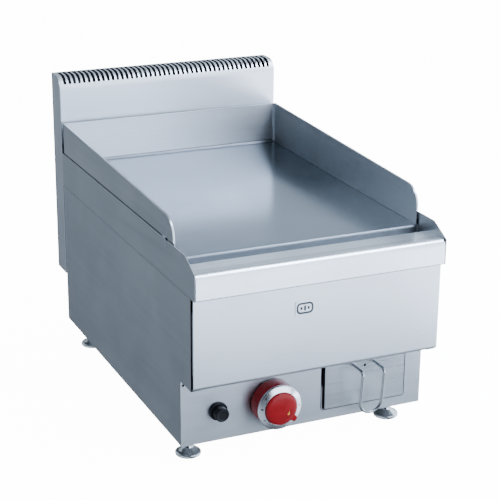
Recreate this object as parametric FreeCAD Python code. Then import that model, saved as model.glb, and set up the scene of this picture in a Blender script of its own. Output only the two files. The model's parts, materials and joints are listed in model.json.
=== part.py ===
import FreeCAD, Part
import math
import os

# Gas countertop griddle. Millimetres; +X is the user's right, the front faces -Y, +Z is up.
# The origin is on the surface that the feet stand on, at the middle of the overall box.

V = FreeCAD.Vector
ALONG_X = V(1, 0, 0)
ALONG_Y = V(0, 1, 0)
ALONG_Z = V(0, 0, 1)

# ---- overall size ----
WIDTH = 400.0
DEPTH = 650.0
HEIGHT = 475.0
HALF = WIDTH / 2
FRONT = -DEPTH / 2
REAR = DEPTH / 2

# ---- casing ----
SHEET = 1.2
FOOT_HEIGHT = 40.0
PANEL_FACE = FRONT + 56.0
PANEL_BACK = PANEL_FACE + SHEET
PANEL_TOP = 144.0
OVERHANG_Z = 144.5
UPPER_FRONT = FRONT + 18.0
FASCIA_FACE = FRONT + 10.0
FASCIA_HALF = HALF - 1.4
FASCIA_BOTTOM = 147.0
FASCIA_RETURN = PANEL_FACE - 1.0
BODY_TOP = 285.3
BODY_REAR = REAR - 48.0
SIDE_OUT = HALF - 0.8
SIDE_IN = SIDE_OUT - SHEET
FLANGE = 14.0
FLOOR_TOP = FOOT_HEIGHT + 2 * SHEET
REAR_PANEL_OUT = BODY_REAR - SHEET
REAR_PANEL_IN = REAR_PANEL_OUT - SHEET
SHIELD_Y = -234.0
SHIELD_BOTTOM = 150.0

# ---- worktop ----
WORKTOP_BOTTOM = BODY_TOP + SHEET
RIM_Z = 344.0
RIM_FRONT = FRONT + 36.0
LEDGE_Z = 325.5
LEDGE_REAR = FRONT + 49.0
GUTTER_Z = 304.5
GUTTER_REAR = FRONT + 85.0
BULLNOSE = 10.0
BAND_HALF = HALF - 1.8
WALL_IN = HALF - SHEET
WALL_REAR = REAR - 46.0
RELIEF_Y = -215.5
RELIEF_WIDTH = 1.8
NOTCH_HALF = 2.6
DRAIN_X = 155.0
DRAIN_Y = -257.0
DRAIN_R = 8.0
DRAIN_JOINT_X = 138.0

# ---- griddle plate and its splash guard ----
PLATE_HALF = HALF - 5.0
PLATE_FRONT = FRONT + 80.0
PLATE_REAR = BODY_REAR
PLATE_TOP = 324.0
PLATE_FALL = 4.0
PLATE_THICKNESS = 12.0
PLATE_EDGE_R = 3.5
PLATE_BOTTOM = PLATE_TOP - PLATE_THICKNESS
GUARD_OUT = HALF - 1.0
GUARD_WIDTH = 3.2
GUARD_IN = GUARD_OUT - GUARD_WIDTH
GUARD_FOOT = RIM_Z + 2.0
GUARD_REAR = BODY_REAR - 9.0
GUARD_REAR_Z = 398.0
GUARD_FRONT_Z = 381.0
GUARD_FRONT_Y = -242.5
GUARD_CORNER = 32.0
SPLASH_BACK_Z = 397.5
SPLASH_SHEET = 1.6
COVE_R = 4.0

# ---- flue ----
FLUE_FRONT = REAR - 46.0
FLUE_BOTTOM = 124.0
FLUE_CAP_R = 22.0
SLOT_COUNT = 45
SLOT_PITCH = 8.6
SLOT_WIDTH = 5.1
SLOT_ANGLE = 24.0
SLOT_REAR = REAR - 5.0
COLLAR_HALF = 140.0
COLLAR_Z = (228.0, 272.0)

# ---- firebox and burner ----
FIREBOX_HALF = 172.0
FIREBOX_Y = (-228.0, 255.0)
FIREBOX_Z = (205.0, PLATE_BOTTOM - 0.2)
FIREBOX_TAB_Z = BODY_TOP - 2 * SHEET
BURNER_X = 80.0
BURNER_Y = (-190.0, 215.0)
BURNER_Z = 250.0
BURNER_R = 19.0
BURNER_WALL = 1.5
PORT_PITCH = 15.0
MANIFOLD_Y = -165.0
MANIFOLD_R = 16.0
MANIFOLD_BORE = 14.6
VENTURI_MOUTH_Y = -272.0
VENTURI_BORE = 13.7
INJECTOR_PLATE_Y = -284.0
ELBOW_Y = (-303.0, -290.0)
PILOT_X = -45.0
PILOT_Y = -110.0
PILOT_SHELF_Z = 240.0
PILOT_SPACING = 10.0

# ---- gas valve, knob and igniter ----
KNOB_X = -56.0
KNOB_Z = 90.5
KNOB_R = 35.0
CAP_R = 25.0
CAP_DOME = 3.2
KNOB_TRAVEL = 3.0
KNOB_SEAT = PANEL_FACE - 29.0
POINTER_ANGLE = 131.0
STEM_R = 4.0
RUNNING = 0.06
VALVE_FRONT = -258.0
VALVE_REAR = -214.0
VALVE_HALF = 20.0
NECK_R = 9.0
NECK_FRONT = -262.0
IGNITER_X = -142.0
IGNITER_Z = 88.6
IGNITER_BUTTON_R = 10.8
IGNITER_BARREL_R = 12.6
BEZEL_R = 14.2
INLET_X = -120.0
INLET_Z = 80.0
INLET_THREAD_R = 10.478
FEED_R = 6.0

# ---- grease drawer ----
OPENING_X = (27.0, 172.0)
OPENING_Z = (55.5, 137.0)
DRAWER_FRONT_X = (34.5, 171.0)
DRAWER_FRONT_Z = (56.6, 134.0)
TRAY_X = (36.0, 170.0)
TRAY_Z = (57.0, 128.0)
TRAY_REAR = 25.0
TRAY_SHEET = 1.0
RUNNER_TOP = TRAY_Z[0] - 0.4
HANDLE_X = 99.0
HANDLE_HALF = 18.0
HANDLE_TOP = 123.0
HANDLE_OUT = 33.0
HANDLE_LEAN = 7.0
HANDLE_R = 2.2

# ---- feet and fasteners ----
FEET = {
    "front_left": (-169.5, -220.0),
    "front_right": (169.5, -220.0),
    "rear_left": (-169.5, 234.0),
    "rear_right": (169.5, 234.0),
}
FOOT_R = 19.8
FOOT_STEM_R = 5.0
SCREW_R = 2.0
FLOOR_SCREWS = [(side * 189.0, y) for side in (-1, 1) for y in (-190.0, -30.0, 130.0, 200.0)]
FLOOR_SCREWS += [(x, -258.0) for x in (-100.0, 0.0, 100.0)]


# ---- shape helpers ----

def box(x, y, z):
    """Box between three (low, high) pairs."""
    return Part.makeBox(x[1] - x[0], y[1] - y[0], z[1] - z[0], V(x[0], y[0], z[0]))


def block(centre, size):
    """Box of a size round its centre."""
    corner = V(*centre) - V(*size) * 0.5
    return Part.makeBox(size[0], size[1], size[2], corner)


def rod(start, end, radius):
    """Round bar between two points."""
    axis = V(*end) - V(*start)
    return Part.makeCylinder(radius, axis.Length, V(*start), axis)


def sleeve(start, end, outer, inner):
    """Tube between two points."""
    return rod(start, end, outer).cut(rod(start, end, inner))


def joined(shapes):
    """One shape fused from several that touch or overlap."""
    return shapes[0].fuse(shapes[1:]).removeSplitter()


def polygon(points):
    """Flat face with straight sides."""
    return Part.Face(Part.makePolygon(points + points[:1]))


def prism_x(outline, x):
    """Solid between two x values with a (y, z) outline."""
    return polygon([V(x[0], y, z) for y, z in outline]).extrude(V(x[1] - x[0], 0, 0))


def turned(profile, centre, axis):
    """Solid of revolution with a (radius, distance along the axis) outline."""
    points = [V(*centre) + V(r, 0, 0) + axis * h for r, h in profile]
    return polygon(points).revolve(V(*centre), axis, 360)


def hexagon(centre, axis, across, length):
    """Hexagonal bar from its centre along the axis."""
    radius = across / math.sqrt(3)
    other = axis.cross(ALONG_X)
    turns = [math.radians(60 * k) for k in range(6)]
    points = [V(*centre) + (ALONG_X * math.cos(a) + other * math.sin(a)) * radius for a in turns]
    return polygon(points).extrude(axis * length)


def nut(centre, axis, across, height, bore):
    """Hexagonal nut from its centre along the axis."""
    hole = Part.makeCylinder(bore, height + 2, V(*centre) - axis, axis)
    return hexagon(centre, axis, across, height).cut([hole])


def rounded(points, radii):
    """Lines through the points, with a tangent arc of each radius at the inner ones."""
    edges = []
    start = points[0]
    for before, corner, after, radius in zip(points, points[1:], points[2:], radii):
        back = (before - corner).normalize()
        ahead = (after - corner).normalize()
        half = back.getAngle(ahead) / 2
        reach = radius / math.tan(half)
        arc_start = corner + back * reach
        arc_end = corner + ahead * reach
        if (arc_start - start).Length > 1e-6:
            edges.append(Part.LineSegment(start, arc_start).toShape())
        if radius > 0:
            centre = corner + (back + ahead).normalize() * (radius / math.sin(half))
            middle = centre + (corner - centre).normalize() * radius
            edges.append(Part.Arc(arc_start, middle, arc_end).toShape())
        start = arc_end
    edges.append(Part.LineSegment(start, points[-1]).toShape())
    return edges


def bent_sheet(profile, radii, x, thickness=SHEET):
    """Sheet bent along a (y, z) line, with its body on the line's right-hand side."""
    line = [V(x[0], y, z) for y, z in profile]
    runs = [(b - a).normalize() for a, b in zip(line, line[1:])]
    sides = [V(0, run.z, -run.y) for run in runs]
    back = [line[0] + sides[0] * thickness]
    back_radii = []
    for corner, run, following, side, next_side, radius in zip(
            line[1:], runs, runs[1:], sides, sides[1:], radii):
        back.append(corner + (side + next_side) * (thickness / (1 + side.dot(next_side))))
        outside = run.cross(following).x > 0
        back_radii.append(radius + thickness if outside else max(radius - thickness, 0))
    back.append(line[-1] + sides[-1] * thickness)
    edges = rounded(line, radii) + rounded(back, back_radii)
    edges.append(Part.LineSegment(line[0], back[0]).toShape())
    edges.append(Part.LineSegment(line[-1], back[-1]).toShape())
    outline = Part.Wire(Part.__sortEdges__(edges))
    return Part.Face(outline).extrude(V(x[1] - x[0], 0, 0))


def pipe(points, radius, bend):
    """Round bar along straight runs joined by tangent arcs."""
    route = [V(*point) for point in points]
    path = Part.Wire(rounded(route, [bend] * (len(route) - 2)))
    section = Part.Wire(Part.makeCircle(radius, route[0], route[1] - route[0]))
    return path.makePipeShell([section], True, False)


def rounded_window(x, y, z, radius):
    """Box whose four edges along y are rounded."""
    shape = box(x, y, z)
    edges = [edge for edge in shape.Edges if abs(edge.tangentAt(edge.FirstParameter).y) > 0.9]
    return shape.makeFillet(radius, edges)


def cove(corner, first, second, length):
    """Hollow fillet of COVE_R between two faces that leave a corner, along a length vector."""
    start = corner + first * COVE_R
    end = corner + second * COVE_R
    middle = start + second * COVE_R - (first + second) * (COVE_R * math.sqrt(0.5))
    edges = [Part.LineSegment(corner, start).toShape(), Part.Arc(start, middle, end).toShape(),
             Part.LineSegment(end, corner).toShape()]
    return Part.Face(Part.Wire(edges)).extrude(length)


def on_side(shape, side):
    """A right-hand shape, or its mirror image for the left."""
    return shape if side == "right" else shape.mirror(V(0, 0, 0), ALONG_X)


def both_sides(shape):
    """A right-hand shape and its mirror image, as two solids."""
    return Part.makeCompound([shape, on_side(shape, "left")])


# ---- casing ----

def side_panel(side):
    """Side skin with its inward flanges all round."""
    skin_x = (SIDE_IN, SIDE_OUT)
    flange_x = (SIDE_OUT - FLANGE, SIDE_OUT)
    outline = [(PANEL_BACK, FOOT_HEIGHT), (BODY_REAR, FOOT_HEIGHT), (BODY_REAR, BODY_TOP),
               (UPPER_FRONT, BODY_TOP), (UPPER_FRONT, OVERHANG_Z), (PANEL_BACK, OVERHANG_Z)]
    panel = joined([
        prism_x(outline, skin_x),
        box(flange_x, (PANEL_BACK, PANEL_BACK + SHEET), (FOOT_HEIGHT, OVERHANG_Z)),
        box(flange_x, (UPPER_FRONT, PANEL_BACK + SHEET), (OVERHANG_Z, OVERHANG_Z + SHEET)),
        box(flange_x, (UPPER_FRONT, UPPER_FRONT + SHEET), (OVERHANG_Z, BODY_TOP)),
        box(flange_x, (UPPER_FRONT, BODY_REAR), (BODY_TOP - SHEET, BODY_TOP)),
        box(flange_x, (BODY_REAR - SHEET, BODY_REAR), (FOOT_HEIGHT, BODY_TOP)),
        box((SIDE_OUT - FLANGE - 6, SIDE_OUT), (PANEL_BACK, BODY_REAR),
            (FOOT_HEIGHT, FOOT_HEIGHT + SHEET)),
    ])
    return on_side(panel.cut(floor_screw_holes(0.1)), side)


def floor_screw_holes(clearance):
    """Cutters for the screws that hold the floor."""
    return [rod((x, y, FOOT_HEIGHT - 5), (x, y, FLOOR_TOP + 5), SCREW_R + clearance)
            for x, y in FLOOR_SCREWS]


def control_panel():
    """Lower front panel with the knob, igniter and drawer openings."""
    face = (PANEL_FACE, PANEL_BACK)
    panel = joined([
        box((-HALF, HALF), face, (FOOT_HEIGHT, PANEL_TOP)),
        box((-176, 176), (PANEL_FACE, PANEL_FACE + 19), (FOOT_HEIGHT, FOOT_HEIGHT + SHEET)),
        box((-184, 184), (PANEL_FACE, PANEL_FACE + 10), (PANEL_TOP - SHEET, PANEL_TOP)),
    ])
    through = (PANEL_FACE - 5, PANEL_BACK + 5)
    cuts = [
        rounded_window(OPENING_X, through, OPENING_Z, 5.0),
        rod((KNOB_X, through[0], KNOB_Z), (KNOB_X, through[1], KNOB_Z), 10.0),
        rod((IGNITER_X, through[0], IGNITER_Z), (IGNITER_X, through[1], IGNITER_Z),
            IGNITER_BARREL_R + 0.2),
        rod((-195.8, through[0], 138.0), (-195.8, through[1], 138.0), 2.2),
        rod((195.8, through[0], 138.0), (195.8, through[1], 138.0), 2.2),
        rod((DRAIN_X, DRAIN_Y, PANEL_TOP - 5), (DRAIN_X, DRAIN_Y, PANEL_TOP + 5), DRAIN_R + 2.5),
    ]
    return panel.cut(cuts + floor_screw_holes(0.1))


def front_fascia():
    """Upper front panel, bent back along its bottom and top."""
    profile = [(FASCIA_RETURN, FASCIA_BOTTOM), (FASCIA_FACE, FASCIA_BOTTOM),
               (FASCIA_FACE, BODY_TOP + 0.2), (FASCIA_FACE + 16, BODY_TOP + 0.2)]
    sheet = bent_sheet(profile, [6.0, 2.0], (-FASCIA_HALF, FASCIA_HALF))
    notch_y = (UPPER_FRONT - 1, FASCIA_RETURN + 1)
    notches = [box(sorted((side * (SIDE_OUT - FLANGE - 1), side * HALF)), notch_y, (z - 5, z + 5))
               for side in (-1, 1) for z in (FASCIA_BOTTOM, BODY_TOP)]
    return sheet.cut(notches)


def fascia_brackets():
    """Two channels that hold the fascia off the side panels' front flanges."""
    y = (FASCIA_FACE + SHEET, UPPER_FRONT)
    channel = box((186, 197), y, (170, 265))
    hollow = box((187.2, 198), (y[0] + SHEET, y[1] - SHEET), (169, 266))
    return both_sides(channel.cut(hollow))


def badge():
    """Small maker's plate on the fascia."""
    return rounded_window((-41.5, -10.5), (FASCIA_FACE - 0.9, FASCIA_FACE), (238, 260), 3.0)


def rear_panel():
    """Back of the body, with the flue window, air slots and gas inlet hole."""
    y = (REAR_PANEL_IN, REAR_PANEL_OUT)
    through = (y[0] - 5, y[1] + 5)
    panel = box((-SIDE_IN + 0.2, SIDE_IN - 0.2), y, (FLOOR_TOP, BODY_TOP - 2 * SHEET))
    cuts = [box((-COLLAR_HALF, COLLAR_HALF), through, COLLAR_Z),
            rod((INLET_X, through[0], INLET_Z), (INLET_X, through[1], INLET_Z), 10.6)]
    for k in range(12):
        x = 4 + 14 * k
        cuts.append(rounded_window((x - 2.5, x + 2.5), through, (62, 108), 2.4))
    return panel.cut(cuts)


def bottom_plate():
    """Floor of the body, with holes for the feet and air openings under the burner."""
    plate = box((-SIDE_IN + 0.2, SIDE_IN - 0.2), (PANEL_BACK + SHEET + 0.4, REAR_PANEL_IN),
                (FOOT_HEIGHT + SHEET, FLOOR_TOP))
    cuts = floor_screw_holes(0.1)
    cuts += [rod((x, y, FOOT_HEIGHT), (x, y, FLOOR_TOP + 5), FOOT_STEM_R + 0.6)
             for x, y in FEET.values()]
    for k in range(7):
        x = -60 + 20 * k
        cuts.append(box((x - 4, x + 4), (80, 220), (FOOT_HEIGHT, FLOOR_TOP + 5)))
    return plate.cut(cuts)


def heat_shield():
    """Screen between the firebox and the controls."""
    shield = box((-SIDE_IN, SIDE_IN), (SHIELD_Y, SHIELD_Y + 1.0), (SHIELD_BOTTOM, FIREBOX_TAB_Z))
    return shield.cut([rod((0, SHIELD_Y - 5, BURNER_Z), (0, SHIELD_Y + 5, BURNER_Z), 12.5)])


# ---- worktop ----

def worktop_front_sheet():
    """Front band, bullnose, ledge and grease gutter over the full width, bent from one sheet."""
    profile = [(FRONT + 12, WORKTOP_BOTTOM), (FRONT, WORKTOP_BOTTOM), (FRONT, LEDGE_Z),
               (LEDGE_REAR, LEDGE_Z), (LEDGE_REAR, GUTTER_Z), (GUTTER_REAR, GUTTER_Z),
               (GUTTER_REAR, PLATE_BOTTOM - 0.5)]
    return bent_sheet(profile, [2.0, BULLNOSE, 3.0, 4.0, 4.0], (-WALL_IN, WALL_IN))


def gutter_end_space():
    """Box round the right end of the gutter, which is pressed apart with the drain and welded in."""
    return box((DRAIN_JOINT_X, WALL_IN), (LEDGE_REAR - SHEET, GUTTER_REAR + SHEET),
               (GUTTER_Z - 2 * SHEET, PLATE_BOTTOM))


def worktop_front():
    """Front sheet without the gutter's right end and with its band clear of the side walls."""
    band = ((FRONT - 5, FRONT + 22), (WORKTOP_BOTTOM - 5, LEDGE_Z + 5))
    gaps = [box(sorted((side * BAND_HALF, side * HALF)), *band) for side in (-1, 1)]
    return worktop_front_sheet().cut(gaps + [gutter_end_space()])


def worktop_wall(side):
    """Side wall of the worktop, with a raised rim and a flange under it."""
    outline = [(FRONT, WORKTOP_BOTTOM), (WALL_REAR, WORKTOP_BOTTOM), (WALL_REAR, RIM_Z),
               (RIM_FRONT, RIM_Z), (FRONT, LEDGE_Z)]
    wall = joined([
        prism_x(outline, (WALL_IN, HALF)),
        box((HALF - FLANGE, HALF), (FRONT + 25, BODY_REAR - 6),
            (WORKTOP_BOTTOM, WORKTOP_BOTTOM + SHEET)),
    ])
    slit = box((WALL_IN - 1, HALF + 1), (RELIEF_Y - RELIEF_WIDTH / 2, RELIEF_Y + RELIEF_WIDTH / 2),
               (RIM_Z - 13, RIM_Z + 1))
    return on_side(wall.cut([slit, relief_notch()]), side)


def relief_notch():
    """Cutter for the notch over the relief slit, through the wall's rim and the guard's foot."""
    return box((WALL_IN - 1.0, HALF + 1), (RELIEF_Y - 2 - NOTCH_HALF, RELIEF_Y - 2 + NOTCH_HALF),
               (RIM_Z - 1.5, GUARD_FOOT + 1.5))


def worktop_rear_rail():
    """Angle across the back that carries the plate's rear edge."""
    return joined([
        box((-WALL_IN, WALL_IN), (BODY_REAR - SHEET, BODY_REAR),
            (WORKTOP_BOTTOM + SHEET, PLATE_BOTTOM)),
        box((-WALL_IN, WALL_IN), (BODY_REAR - FLANGE, BODY_REAR),
            (PLATE_BOTTOM - SHEET, PLATE_BOTTOM)),
    ])


def worktop_seals():
    """Two strips in the seam between the body and the worktop."""
    return both_sides(box((SIDE_OUT - 12, SIDE_OUT - 3), (FRONT + 26, BODY_REAR - 7),
                          (BODY_TOP, WORKTOP_BOTTOM)))


def support_rails():
    """Angles on the worktop's walls that carry the plate, and strips that hang the firebox."""
    y = (PLATE_FRONT + 8, BODY_REAR - FLANGE - 1)
    angle = joined([
        box((WALL_IN - SHEET, WALL_IN), y, (WORKTOP_BOTTOM + 4, PLATE_BOTTOM)),
        box((WALL_IN - 18, WALL_IN), y, (PLATE_BOTTOM - SHEET, PLATE_BOTTOM)),
        box((PLATE_HALF + 0.2, WALL_IN), (PLATE_FRONT + 1, y[1]), (PLATE_BOTTOM, PLATE_TOP)),
    ])
    strip = box((FIREBOX_HALF, SIDE_IN), (-170, 210), (FIREBOX_TAB_Z, FIREBOX_TAB_Z + SHEET))
    return Part.makeCompound([both_sides(angle), both_sides(strip)])


def griddle_plate():
    """Thick polished cooking plate that falls towards its rounded front edge."""
    outline = [(PLATE_FRONT, PLATE_BOTTOM), (PLATE_REAR, PLATE_BOTTOM),
               (PLATE_REAR, PLATE_TOP + PLATE_FALL), (PLATE_FRONT, PLATE_TOP)]
    plate = prism_x(outline, (-PLATE_HALF, PLATE_HALF))
    edges = [edge for edge in plate.Edges
             if edge.CenterOfMass.isEqual(V(0, PLATE_FRONT, PLATE_TOP), 0.1)]
    return plate.makeFillet(PLATE_EDGE_R, edges)


# ---- splash guard ----

def guard_profile(inset):
    """Side guard's outline from its front foot to its rear foot, set in by a distance."""
    rise = (GUARD_REAR_Z - GUARD_FRONT_Z) / (GUARD_REAR - GUARD_FRONT_Y)
    drop = inset * math.hypot(1, rise)
    front = GUARD_FRONT_Y + inset
    points = [V(GUARD_IN, front, PLATE_TOP), V(GUARD_IN, front, GUARD_FRONT_Z + rise * inset - drop),
              V(GUARD_IN, GUARD_REAR, GUARD_REAR_Z - drop), V(GUARD_IN, GUARD_REAR, PLATE_TOP)]
    edges = rounded(points, [GUARD_CORNER - inset, 0])
    edges.append(Part.LineSegment(points[-1], points[0]).toShape())
    return Part.Face(Part.Wire(Part.__sortEdges__(edges)))


def splash_side(side):
    """Side guard: a hemmed sheet whose inner skin stands beside the plate, tacked to the wall."""
    solid = guard_profile(0).extrude(V(GUARD_WIDTH, 0, 0))
    hollow = guard_profile(SHEET).extrude(V(GUARD_WIDTH - 2 * SHEET, 0, 0))
    hollow.translate(V(SHEET, 0, 0))
    below_rim = box((GUARD_IN + SHEET, HALF), (GUARD_FRONT_Y - 1, GUARD_REAR + 1),
                    (PLATE_TOP - 1, GUARD_FOOT))
    tack = box((GUARD_OUT - SHEET, HALF - 0.4), (RELIEF_Y + 4, RELIEF_Y + 14), (RIM_Z, GUARD_FOOT + 0.6))
    return on_side(joined([solid.cut([hollow, below_rim, relief_notch()]), tack]), side)


def splash_back():
    """Rear guard between the side guards, with hollow fillets along its foot and corners."""
    y = (GUARD_REAR, GUARD_REAR + SPLASH_SHEET)
    foot_z = PLATE_TOP + 1
    up = V(0, 0, SPLASH_BACK_Z - foot_z)
    return joined([
        box((-GUARD_IN, GUARD_IN), y, (foot_z, SPLASH_BACK_Z)),
        box((-GUARD_OUT, GUARD_OUT), y, (GUARD_FOOT, SPLASH_BACK_Z)),
        cove(V(GUARD_IN, GUARD_REAR, foot_z), -ALONG_X, -ALONG_Y, up),
        cove(V(-GUARD_IN, GUARD_REAR, foot_z), ALONG_X, -ALONG_Y, up),
        cove(V(-PLATE_HALF, GUARD_REAR, PLATE_TOP + PLATE_FALL - 0.1), -ALONG_Y, ALONG_Z,
             V(2 * PLATE_HALF, 0, 0)),
    ]).cut([griddle_plate()])


# ---- flue ----

def flue_front():
    """Front and slotted top of the flue, bent from one sheet."""
    profile = [(FLUE_FRONT, FLUE_BOTTOM), (FLUE_FRONT, HEIGHT), (REAR - SHEET, HEIGHT)]
    sheet = bent_sheet(profile, [FLUE_CAP_R], (-WALL_IN, WALL_IN))
    angle = math.radians(SLOT_ANGLE)
    slot_z = HEIGHT - FLUE_CAP_R * (1 - math.sin(angle))
    half = SLOT_WIDTH / 2
    low = slot_z + half
    back = SLOT_REAR - half
    cuts = [box((-COLLAR_HALF, COLLAR_HALF), (FLUE_FRONT - 5, FLUE_FRONT + 5), COLLAR_Z)]
    for k in range(SLOT_COUNT):
        x = (k - (SLOT_COUNT - 1) / 2) * SLOT_PITCH
        cuts.append(box((x - half, x + half), (FLUE_FRONT - 1, back), (low, HEIGHT + 1)))
        cuts.append(rod((x, FLUE_FRONT - 1, low), (x, FLUE_FRONT + FLUE_CAP_R, low), half))
        cuts.append(rod((x, back, HEIGHT - 5), (x, back, HEIGHT + 1), half))
    return sheet.cut(cuts)


def flue_side_caps():
    """Two end plates of the flue, shaped to its section."""
    points = [V(WALL_IN, FLUE_FRONT, FLUE_BOTTOM), V(WALL_IN, FLUE_FRONT, HEIGHT),
              V(WALL_IN, REAR, HEIGHT), V(WALL_IN, REAR, FLUE_BOTTOM)]
    edges = rounded(points, [FLUE_CAP_R, 0])
    edges.append(Part.LineSegment(points[-1], points[0]).toShape())
    face = Part.Face(Part.Wire(Part.__sortEdges__(edges)))
    return both_sides(face.extrude(V(SHEET, 0, 0)))


def flue_back():
    """Back of the flue, bent forward under it as its floor."""
    profile = [(FLUE_FRONT + SHEET, FLUE_BOTTOM + SHEET), (REAR - SHEET, FLUE_BOTTOM + SHEET),
               (REAR - SHEET, HEIGHT)]
    return bent_sheet(profile, [1.0], (-WALL_IN, WALL_IN))


def flue_collar():
    """Short duct from the firebox through the rear panel into the flue."""
    y = (FIREBOX_Y[1] - SHEET, FLUE_FRONT + SHEET + 2)
    duct = box((-COLLAR_HALF, COLLAR_HALF), y, COLLAR_Z)
    inside = box((-COLLAR_HALF + 1, COLLAR_HALF - 1), (y[0] - 1, y[1] + 1),
                 (COLLAR_Z[0] + 1, COLLAR_Z[1] - 1))
    return duct.cut([inside])


# ---- firebox and burner ----

def firebox():
    """Open-topped box under the plate, with air openings in its floor and a window to the flue."""
    x = (-FIREBOX_HALF, FIREBOX_HALF)
    shell = box(x, FIREBOX_Y, FIREBOX_Z)
    hollow = box((x[0] + SHEET, x[1] - SHEET), (FIREBOX_Y[0] + SHEET, FIREBOX_Y[1] - SHEET),
                 (FIREBOX_Z[0] + SHEET, FIREBOX_Z[1] + 1))
    floor = (FIREBOX_Z[0] - 1, FIREBOX_Z[0] + 5)
    cuts = [box((side * BURNER_X - 20, side * BURNER_X + 20), (-135, 175), floor) for side in (-1, 1)]
    cuts.append(rod((PILOT_X, PILOT_Y, floor[0]), (PILOT_X, PILOT_Y, floor[1]), 13.0))
    cuts.append(box((-COLLAR_HALF, COLLAR_HALF), (FIREBOX_Y[1] - 5, FIREBOX_Y[1] + 5), COLLAR_Z))
    cuts.append(rod((0, FIREBOX_Y[0] - 5, BURNER_Z), (0, FIREBOX_Y[0] + 5, BURNER_Z), 12.5))
    return shell.cut([hollow] + cuts)


def burner_tube(side):
    """Closed steel tube with a row of port slots along its top."""
    start = (BURNER_X, BURNER_Y[0], BURNER_Z)
    end = (BURNER_X, BURNER_Y[1], BURNER_Z)
    bore_start = (BURNER_X, BURNER_Y[0] + 2, BURNER_Z)
    bore_end = (BURNER_X, BURNER_Y[1] - 2, BURNER_Z)
    tube = rod(start, end, BURNER_R).cut(rod(bore_start, bore_end, BURNER_R - BURNER_WALL))
    cuts = [rod((0, MANIFOLD_Y, BURNER_Z), (BURNER_X, MANIFOLD_Y, BURNER_Z), MANIFOLD_BORE)]
    count = int((BURNER_Y[1] - BURNER_Y[0] - 30) / PORT_PITCH) + 1
    for k in range(count):
        port = (BURNER_X, BURNER_Y[0] + 15 + PORT_PITCH * k, BURNER_Z + BURNER_R)
        cuts.append(block(port, (20, 1.6, 9)))
    return on_side(tube.cut(cuts), side)


def burner_manifold():
    """Cross tube that feeds both burner tubes."""
    cross = sleeve((-BURNER_X, MANIFOLD_Y, BURNER_Z), (BURNER_X, MANIFOLD_Y, BURNER_Z),
                   MANIFOLD_R, MANIFOLD_BORE)
    cuts = [rod((x, BURNER_Y[0], BURNER_Z), (x, BURNER_Y[1], BURNER_Z), BURNER_R)
            for x in (-BURNER_X, BURNER_X)]
    cuts.append(rod((0, MANIFOLD_Y - 30, BURNER_Z), (0, MANIFOLD_Y, BURNER_Z), VENTURI_BORE))
    return cross.cut(cuts)


def venturi_tube():
    """Mixing tube with a bell mouth in front of the injector."""
    wall = 1.5
    bore = [(14.5, VENTURI_MOUTH_Y), (9.0, VENTURI_MOUTH_Y + 20), (9.0, VENTURI_MOUTH_Y + 57),
            (VENTURI_BORE, VENTURI_MOUTH_Y + 80), (VENTURI_BORE, MANIFOLD_Y)]
    outside = [(r + wall, y) for r, y in reversed(bore)]
    tube = turned(bore + outside, (0, 0, BURNER_Z), ALONG_Y)
    return tube.cut([rod((-40, MANIFOLD_Y, BURNER_Z), (40, MANIFOLD_Y, BURNER_Z), MANIFOLD_R)])


def burner_brackets():
    """Four saddles under the burner tubes and the shelf of the pilot group."""
    solids = []
    for x in (-BURNER_X, BURNER_X):
        tube = rod((x, BURNER_Y[0], BURNER_Z), (x, BURNER_Y[1], BURNER_Z), BURNER_R)
        for y in (-150.0, 190.0):
            saddle = box((x - 14, x + 14), (y, y + 2), (FIREBOX_Z[0] + SHEET, BURNER_Z - 8))
            solids.append(saddle.cut([tube]))
    shelf_x = (PILOT_X - 14, PILOT_X + 14)
    shelf = joined([
        box(shelf_x, (PILOT_Y - 6, PILOT_Y + 16), (PILOT_SHELF_Z, PILOT_SHELF_Z + SHEET)),
        box(shelf_x, (PILOT_Y + 16 - SHEET, PILOT_Y + 16),
            (FIREBOX_Z[0] + SHEET, PILOT_SHELF_Z + SHEET)),
    ])
    holes = [rod((x, PILOT_Y, PILOT_SHELF_Z - 5), (x, PILOT_Y, PILOT_SHELF_Z + 5), r)
             for x, r in ((PILOT_X - PILOT_SPACING, 2.6), (PILOT_X, 4.0), (PILOT_X + PILOT_SPACING, 3.2))]
    solids.append(shelf.cut(holes))
    return Part.makeCompound(solids)


def injector_bracket():
    """U bracket on the heat shield that holds the injector on the venturi's axis."""
    y = (INJECTOR_PLATE_Y, SHIELD_Y)
    z = (BURNER_Z - 18, BURNER_Z + 18)
    outer = box((-22, 22), y, z)
    inner = box((-22 + SHEET, 22 - SHEET), (y[0] + SHEET, y[1] + 1), (z[0] - 1, z[1] + 1))
    hole = rod((0, y[0] - 1, BURNER_Z), (0, y[0] + 5, BURNER_Z), 4.0)
    return outer.cut([inner, hole])


def injector():
    """Brass elbow with its injector nozzle."""
    start = ELBOW_Y[1]
    plate = INJECTOR_PLATE_Y
    profile = [(0.6, start), (4.0, start), (4.0, plate + 6), (2.0, plate + 9), (0.6, plate + 9)]
    nozzle = turned(profile, (0, 0, BURNER_Z), ALONG_Y)
    collar = hexagon((0, start, BURNER_Z), ALONG_Y, 13, plate - start)
    orifice = rod((0, start, BURNER_Z), (0, plate + 9, BURNER_Z), 0.6)
    elbow = box((-8, 8), ELBOW_Y, (BURNER_Z - 10, BURNER_Z + 8))
    return joined([elbow, collar, nozzle]).cut([orifice])


# ---- gas supply and controls ----

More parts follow.
